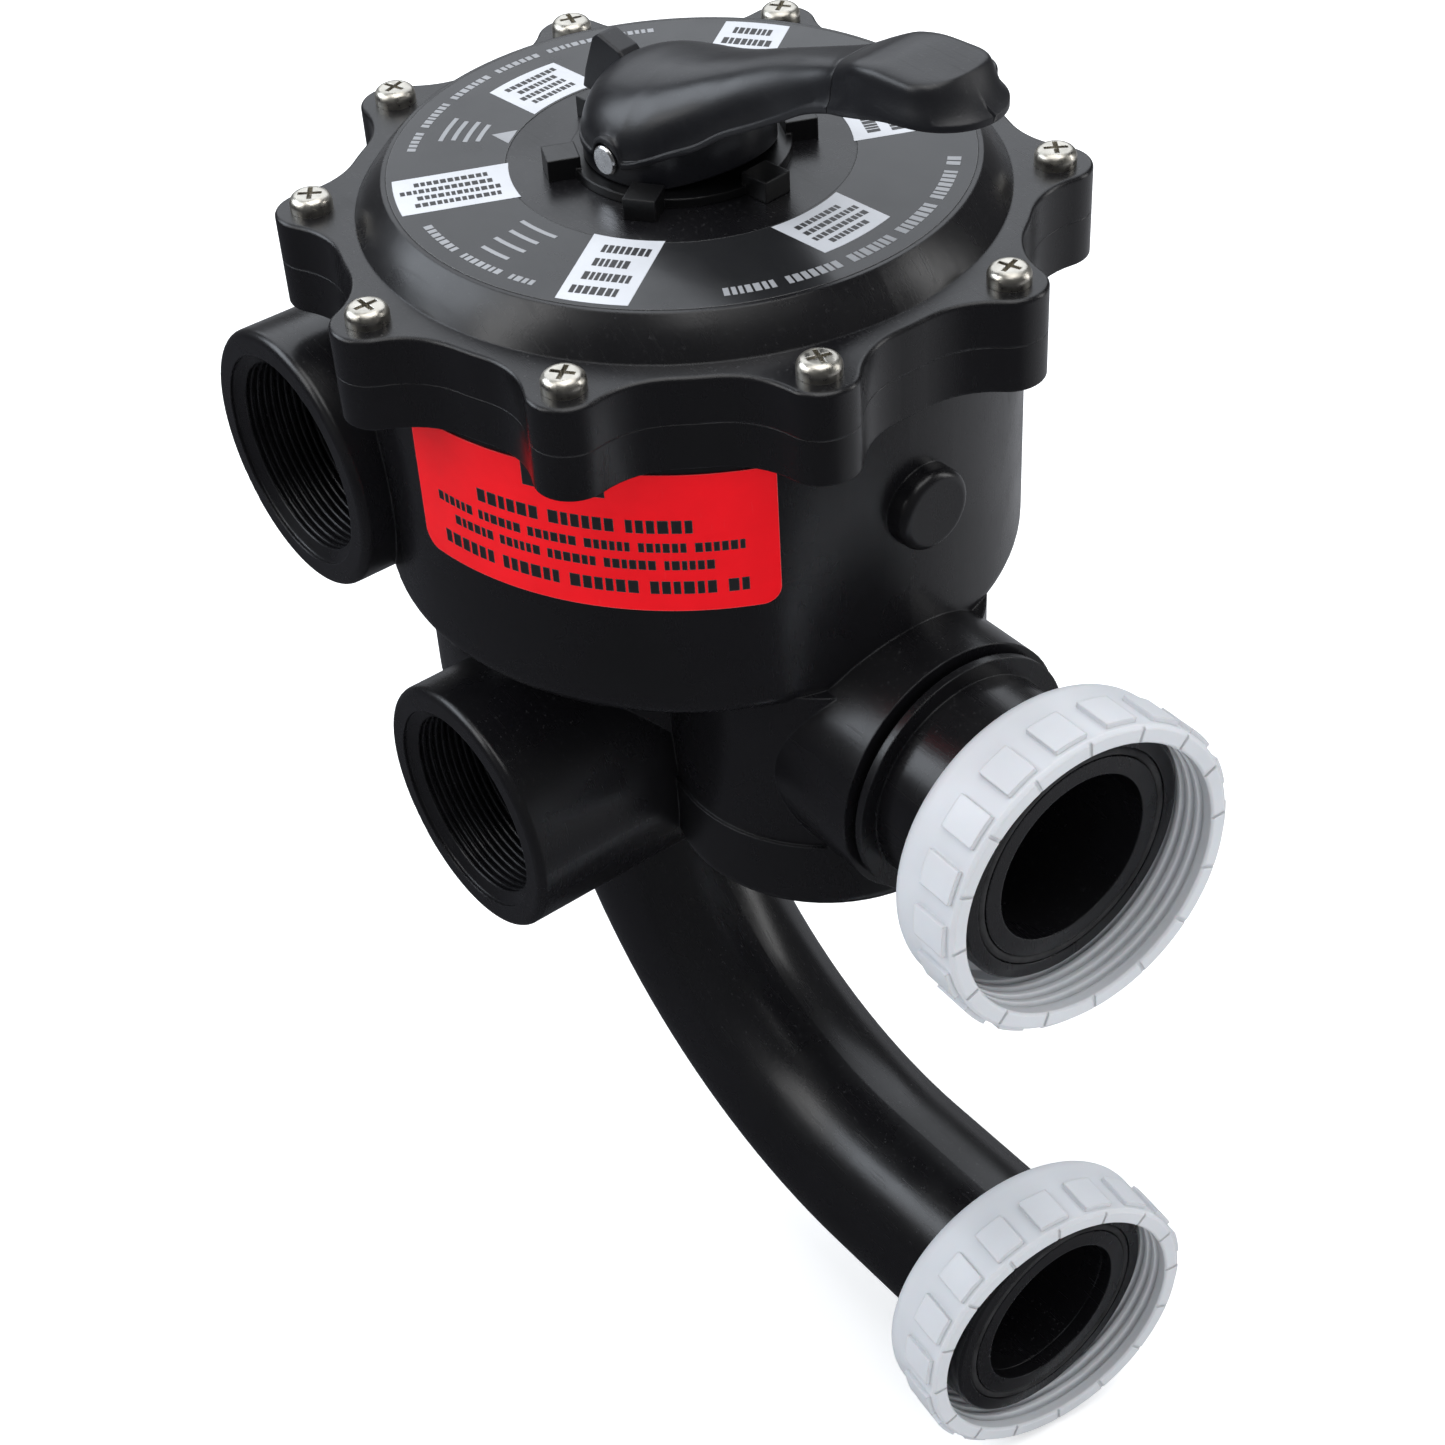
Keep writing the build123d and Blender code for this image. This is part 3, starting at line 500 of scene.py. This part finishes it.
def make_skirt():
    """Round wall under the lever's hub, with the foot that rolls on the position ring."""
    outer_r, inner_r = 25.4, 22.4
    foot_z, fulcrum_u, rise = 145.3, 14.0, 0.3
    into_hub = 2.4
    count = 96
    points, faces = [], []
    for i in range(count):
        angle = 2 * math.pi * i / count
        for r in (outer_r, inner_r):
            u, v = r * math.cos(angle), r * math.sin(angle)
            low = foot_z + max(0.0, u - fulcrum_u) * rise
            high = rim_line(u) + into_hub
            points += [on_lever(u, v, low), on_lever(u, v, high)]
    for i in range(count):
        a, b = 4 * i, 4 * ((i + 1) % count)
        corners = (0, 1, 3, 2)
        for k, after in zip(corners, corners[1:] + corners[:1]):
            faces.append((a + k, b + k, b + after, a + after))
    skirt = add_piece("lever_skirt", points, faces, "handle_plastic", "handle")
    bevel_edges(skirt, 0.5 * MM, 2, 50)


def make_pointer():
    """Finger at the tail of the lever that points at the chosen position."""
    outline = [(-34, 151.5), (-32.5, 157), (-28.5, 167.2), (-26, 169),
               (-18, 166.6), (-14, 163), (-20, 156), (-25.5, 151.2)]
    half_thick = 3.4
    points = [on_lever(u, v, z) for v in (-half_thick, half_thick) for u, z in outline]
    n = len(outline)
    faces = [tuple(range(n))[::-1], tuple(range(n, 2 * n))]
    faces += [(i, (i + 1) % n, n + (i + 1) % n, n + i) for i in range(n)]
    fin = add_piece("lever_pointer", points, faces, "handle_plastic", "handle", smooth=False)
    bevel_edges(fin, 0.7 * MM, 3, 30)


# ---------------------------------------------------------------- print on the dial and label
PRINT_LIFT = 0.03 * MM
INK_LIFT = 0.09 * MM
FILM_THICK = 0.05 * MM

# position plates, in millimetres: inner radius, outer radius, half width
SHORT_PLATE = (46.6, 65.0, 11.6)
LONG_PLATE = (45.2, 75.6, 9.3)
# positions with a short plate, and the one whose rows of bars run along its plate
SHORT_PLATES = (0, 3)
PLATE_WITH_LONG_ROWS = 4

# blocks round the rim: first and last azimuth in degrees, inner radius and height in millimetres
RIM_WORDS = ((-29, 45, 69.4, 3.6), (-101, -67, 70.4, 2.3), (149, 226, 70.6, 2.3))
# small stacks of lines: azimuth in degrees, inner and outer radius in millimetres
RIM_STACKS = ((-144.0, 54.5, 64.5), (-82.0, 50.5, 65.0))

# rows on the label: share of its height, letter height in millimetres, shares left empty at each end
LABEL_ROWS = (
    (0.82, 7.0, 0.36, 0.40),
    (0.58, 4.0, 0.2, 0.16),
    (0.44, 2.9, 0.04, 0.03),
    (0.31, 2.9, 0.1, 0.12),
    (0.13, 4.0, 0.05, 0.05),
)


def dial_point(r, azimuth, lift):
    """Point over the dial's face, at radius r from the selector axis."""
    return shaft + Vector((r * math.cos(azimuth), r * math.sin(azimuth), dial_z + lift))


class Print:
    """Collects thin patches and turns them into one mesh."""

    def __init__(self):
        self.points = []
        self.faces = []

    def patch(self, rows):
        """rows: equally long lists of points; a sheet is laid over them."""
        base, across = len(self.points), len(rows[0])
        for row in rows:
            self.points += row
        for i in range(len(rows) - 1):
            for k in range(across - 1):
                a = base + i * across + k
                self.faces.append((a, a + 1, a + across + 1, a + across))

    def arc_patch(self, r0, r1, a0, a1):
        """Patch on the dial between two radii and two azimuths."""
        steps = max(2, int(abs(a1 - a0) / math.radians(1.5)) + 1)
        angles = [a0 + (a1 - a0) * i / (steps - 1) for i in range(steps)]
        self.patch([[dial_point(r, a, PRINT_LIFT) for a in angles] for r in (r0, r1)])

    def make(self, name, material):
        """Thin film that rides on the valve."""
        piece = add_piece(name, self.points, self.faces, material, "valve", smooth=False)
        solid = piece.modifiers.new("film", "SOLIDIFY")
        solid.thickness = FILM_THICK
        solid.offset = 0


def plate_patch(sheet, azimuth, r0, r1, half):
    """Plate with straight sides and ends that follow the dial's circles."""
    steps = 8
    sides = [-half + 2 * half * i / steps for i in range(steps + 1)]
    rows = []
    for r in (r0, r1):
        rows.append([dial_point(r, azimuth + math.asin(side / r), PRINT_LIFT) for side in sides])
    sheet.patch(rows)


def plate_bars(sheet, azimuth, r0, r1, half, along, rng):
    """Four rows of short bars across a plate, or along it."""
    margin, gap = 2.2 * MM, 0.45 * MM
    rows = 4
    low, high = (-half + margin, half - margin) if along else (r0 + margin, r1 - margin)
    reach0, reach1 = (r0 + margin, r1 - margin) if along else (-half + margin, half - margin)
    pitch = (high - low) / rows
    height = pitch * 0.55
    radial = Vector((math.cos(azimuth), math.sin(azimuth), 0))
    sideways = Vector((-math.sin(azimuth), math.cos(azimuth), 0))
    centre = shaft + UP * (dial_z + INK_LIFT)
    for row in range(rows):
        level = low + (row + 0.5) * pitch
        place = reach0 + rng.uniform(0, 0.15) * (reach1 - reach0)
        end = reach1 - rng.uniform(0, 0.2) * (reach1 - reach0)
        while place < end:
            width = rng.uniform(0.9, 1.6) * MM
            ends, levels = (place, place + width), (level - height / 2, level + height / 2)
            corners = [(a, b) for a in ends for b in levels]
            if not along:
                corners = [(b, a) for a, b in corners]
            bar = [centre + radial * a + sideways * b for a, b in corners]
            sheet.patch([bar[:2], bar[2:]])
            place += width + gap


def rim_words(sheet, rng):
    """Blocks round the rim, where the real dial carries words."""
    for start, end, r, height in RIM_WORDS:
        place = start
        letter = 0
        while place < end:
            width = rng.uniform(1.0, 1.9) / r * 180 / math.pi
            sheet.arc_patch(r * MM, (r + height) * MM, math.radians(place), math.radians(place + width))
            letter += 1
            gap = 0.6 if letter % 7 else 3.0
            place += width + gap / r * 180 / math.pi


def rim_stacks(sheet, rng):
    """Small stacks of lines on the dial."""
    lines, line_height = 4, 1.3
    for azimuth, r0, r1 in RIM_STACKS:
        middle = math.radians(azimuth)
        for row in range(lines):
            r = r0 + (r1 - r0) * row / (lines - 1)
            spread = rng.uniform(4.5, 6.5) / r
            sheet.arc_patch(r * MM, (r + line_height) * MM, middle - spread, middle + spread)


def pointer_mark(sheet):
    """Small triangle on the dial."""
    azimuth, spread = math.radians(-143.5), 0.08
    base = [dial_point(46.6 * MM, azimuth + turn, PRINT_LIFT) for turn in (-spread, spread)]
    tip = dial_point(52.5 * MM, azimuth, PRINT_LIFT)
    sheet.patch([base, [tip, tip + Vector((1e-6, 0, 0))]])


def make_dial_print():
    """Position plates with their bars, and the marks round the dial."""
    rng = random.Random(11)
    plates, bars, marks = Print(), Print(), Print()
    for i in range(POSITIONS):
        azimuth = lever_azimuth + i * math.pi / 3
        r0, r1, half = (size * MM for size in (SHORT_PLATE if i in SHORT_PLATES else LONG_PLATE))
        plate_patch(plates, azimuth, r0, r1, half)
        plate_bars(bars, azimuth, r0, r1, half, i == PLATE_WITH_LONG_ROWS, rng)
    rim_words(marks, rng)
    rim_stacks(marks, rng)
    pointer_mark(marks)
    plates.make("dial_position_plates", "white_ink")
    bars.make("dial_plate_bars", "black_ink")
    marks.make("dial_rim_marks", "grey_ink")


def make_label_print():
    """Dark blocks in rows on the red label, where the real one carries words."""
    rng = random.Random(5)
    sheet = Print()
    r = label_radius() + PRINT_LIFT
    first, last = math.radians(-86.5), math.radians(-27.0)
    for share, height, left, right in LABEL_ROWS:
        z = label_low.z + (label_high.z - label_low.z) * share
        place = first + (last - first) * left
        end = last - (last - first) * right
        letter = 0
        while place < end:
            width = rng.uniform(0.45, 0.72) * height * MM / r
            sheet.patch([
                [shaft + Vector((r * math.cos(a), r * math.sin(a), level)) for a in (place, place + width)]
                for level in (z, z + height * MM)
            ])
            letter += 1
            place += width + (0.18 if letter % 6 else 0.75) * height * MM / r
    sheet.make("label_blocks", "black_ink")


def label_radius():
    """Outer radius of the label, from its own vertices."""
    return max((Vector((v.co.x, v.co.y, 0)) - shaft).length for v in nodes["side_label"].data.vertices)


# ---------------------------------------------------------------- carried-over CAD nodes
def paint_nodes():
    """Give each CAD node the material of its slot; the position ring gets a darker black, painted shade for its
    place under the lever's hub.
    """
    slot_of = {s["node"]: s["material_slot"] for s in frame["record"]["subparts"]}
    for name, node in nodes.items():
        node.data.materials.clear()
        node.data.materials.append(materials["ring_plastic" if name == "cam_washer" else slot_of[name]])
        for face in node.data.polygons:
            face.material_index = 0


# ---------------------------------------------------------------- stage
LIGHT_TARGET = Vector((-0.11, 0, 0.03))
FLOOR_HALF = 6.0
FLOOR_GAP = 0.0005
CAMERA_PLACE = (0.3577, -0.3630, 0.4810)
# azimuth, elevation and roll in degrees
CAMERA_ANGLES = (54.58, 40.4, -3.8)


def soft_box(name, direction, distance, size, power, colour=(1, 1, 1), mirrored=True):
    """Rectangular lamp that faces the object; one that isn't mirrored leaves no highlight."""
    light = bpy.data.lights.new(name, "AREA")
    light.shape = "RECTANGLE"
    light.size, light.size_y = size
    light.energy = power
    light.color = colour
    lamp = bpy.data.objects.new(name, light)
    bpy.context.scene.collection.objects.link(lamp)
    direction = Vector(direction).normalized()
    lamp.location = LIGHT_TARGET + direction * distance
    lamp.visible_glossy = mirrored
    lamp.rotation_mode = "QUATERNION"
    lamp.rotation_quaternion = direction.to_track_quat("Z", "Y")


def make_floor():
    """Pale floor; it glows a little to the camera and looks dark in the object's upright sides."""
    half, z = FLOOR_HALF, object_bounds()[0].z - FLOOR_GAP
    mesh = bpy.data.meshes.new("floor")
    corners = [(-half, -half, z), (half, -half, z), (half, half, z), (-half, half, z)]
    mesh.from_pydata(corners, [], [(0, 1, 2, 3)])
    floor = bpy.data.objects.new("floor", mesh)
    bpy.context.scene.collection.objects.link(floor)
    n = Nodes("floor_paper")
    pale = n.mix(n.span(n.noise(3, 2), 0.3, 0.7, 0, 1), rgb(0.93, 0.93, 0.93), rgb(0.9, 0.9, 0.9))
    path = n.node("ShaderNodeLightPath")
    split = n.node("ShaderNodeSeparateXYZ")
    n.join(n.place, split.inputs[0])
    behind = n.span(split.outputs["Y"], -0.05, 0.45, 0, 1)
    mirrored = n.mix(behind, rgb(0.05, 0.05, 0.055), rgb(0.34, 0.34, 0.35))
    n.join(n.mix(path.outputs["Is Glossy Ray"], pale, mirrored), n.shader.inputs["Base Color"])
    n.set(Roughness=0.9, Specular_IOR_Level=0.1, Emission_Color=rgb(1, 1, 1))
    away = n.node("ShaderNodeVectorMath", operation="LENGTH")
    n.join(n.place, away.inputs[0])
    glow = n.span(away.outputs["Value"], 0.7, 2.2, FLOOR_GLOW, BACKDROP_WHITE)
    n.join(n.math("MULTIPLY", path.outputs["Is Camera Ray"], glow), n.shader.inputs["Emission Strength"])
    mesh.materials.append(n.material)


def make_world():
    """Soft room light; reflections see a dark room, so that the sheen comes from the soft boxes."""
    world = bpy.data.worlds.new("studio")
    world.use_nodes = True
    bpy.context.scene.world = world
    tree = world.node_tree
    tree.nodes.clear()
    out = tree.nodes.new("ShaderNodeOutputWorld")
    background = tree.nodes.new("ShaderNodeBackground")
    path = tree.nodes.new("ShaderNodeLightPath")
    level = tree.nodes.new("ShaderNodeMapRange")
    level.inputs["To Min"].default_value = ROOM_LIGHT
    level.inputs["To Max"].default_value = ROOM_SHEEN
    tree.links.new(path.outputs["Is Glossy Ray"], level.inputs["Value"])
    seen = tree.nodes.new("ShaderNodeMapRange")
    seen.inputs["To Max"].default_value = BACKDROP_WHITE
    tree.links.new(path.outputs["Is Camera Ray"], seen.inputs["Value"])
    tree.links.new(level.outputs["Result"], seen.inputs["To Min"])
    tree.links.new(seen.outputs["Result"], background.inputs["Strength"])
    tree.links.new(background.outputs[0], out.inputs[0])
    background.inputs["Color"].default_value = (0.96, 0.98, 1.0, 1)


def make_camera():
    """The photo's view of the valve."""
    camera = bpy.data.cameras.new("camera")
    camera.sensor_width = 36.0
    camera.lens = 66.6
    camera.clip_start, camera.clip_end = 0.05, 20.0
    holder = bpy.data.objects.new("camera", camera)
    bpy.context.scene.collection.objects.link(holder)
    azimuth, elevation, roll = (math.radians(angle) for angle in CAMERA_ANGLES)
    flat = math.cos(elevation)
    back = Vector((math.sin(azimuth) * flat, -math.cos(azimuth) * flat, math.sin(elevation)))
    level = UP.cross(back).normalized()
    upright = back.cross(level)
    right = level * math.cos(roll) + upright * math.sin(roll)
    top = upright * math.cos(roll) - level * math.sin(roll)
    holder.matrix_world = Matrix([[*axes] for axes in zip(right, top, back, CAMERA_PLACE)] + [[0, 0, 0, 1]])
    bpy.context.scene.camera = holder


paint_nodes()
make_lever()
make_spring()
make_skirt()
make_pointer()
make_dial_print()
make_label_print()
make_floor()
make_world()
soft_box("overhead", (0.1, 0.0, 1.0), 1.1, (0.9, 0.9), 6)
soft_box("backdrop", (-0.62, 0.44, 0.65), 1.6, (2.2, 1.4), 14, (0.9, 0.94, 1.0))
soft_box("left", (-0.62, -0.55, 0.52), 1.4, (0.8, 0.7), 8, (0.86, 0.92, 1.0))
soft_box("front_left", (-0.3, -1.0, 0.9), 1.3, (0.3, 0.9), 3)
soft_box("right", (0.6, 0.9, 0.35), 1.3, (0.3, 1.0), 3)
soft_box("front_fill", (1.0, -0.15, 0.25), 1.3, (0.8, 0.8), 3.5, mirrored=False)
make_camera()
bpy.context.scene.view_settings.view_transform = "Standard"
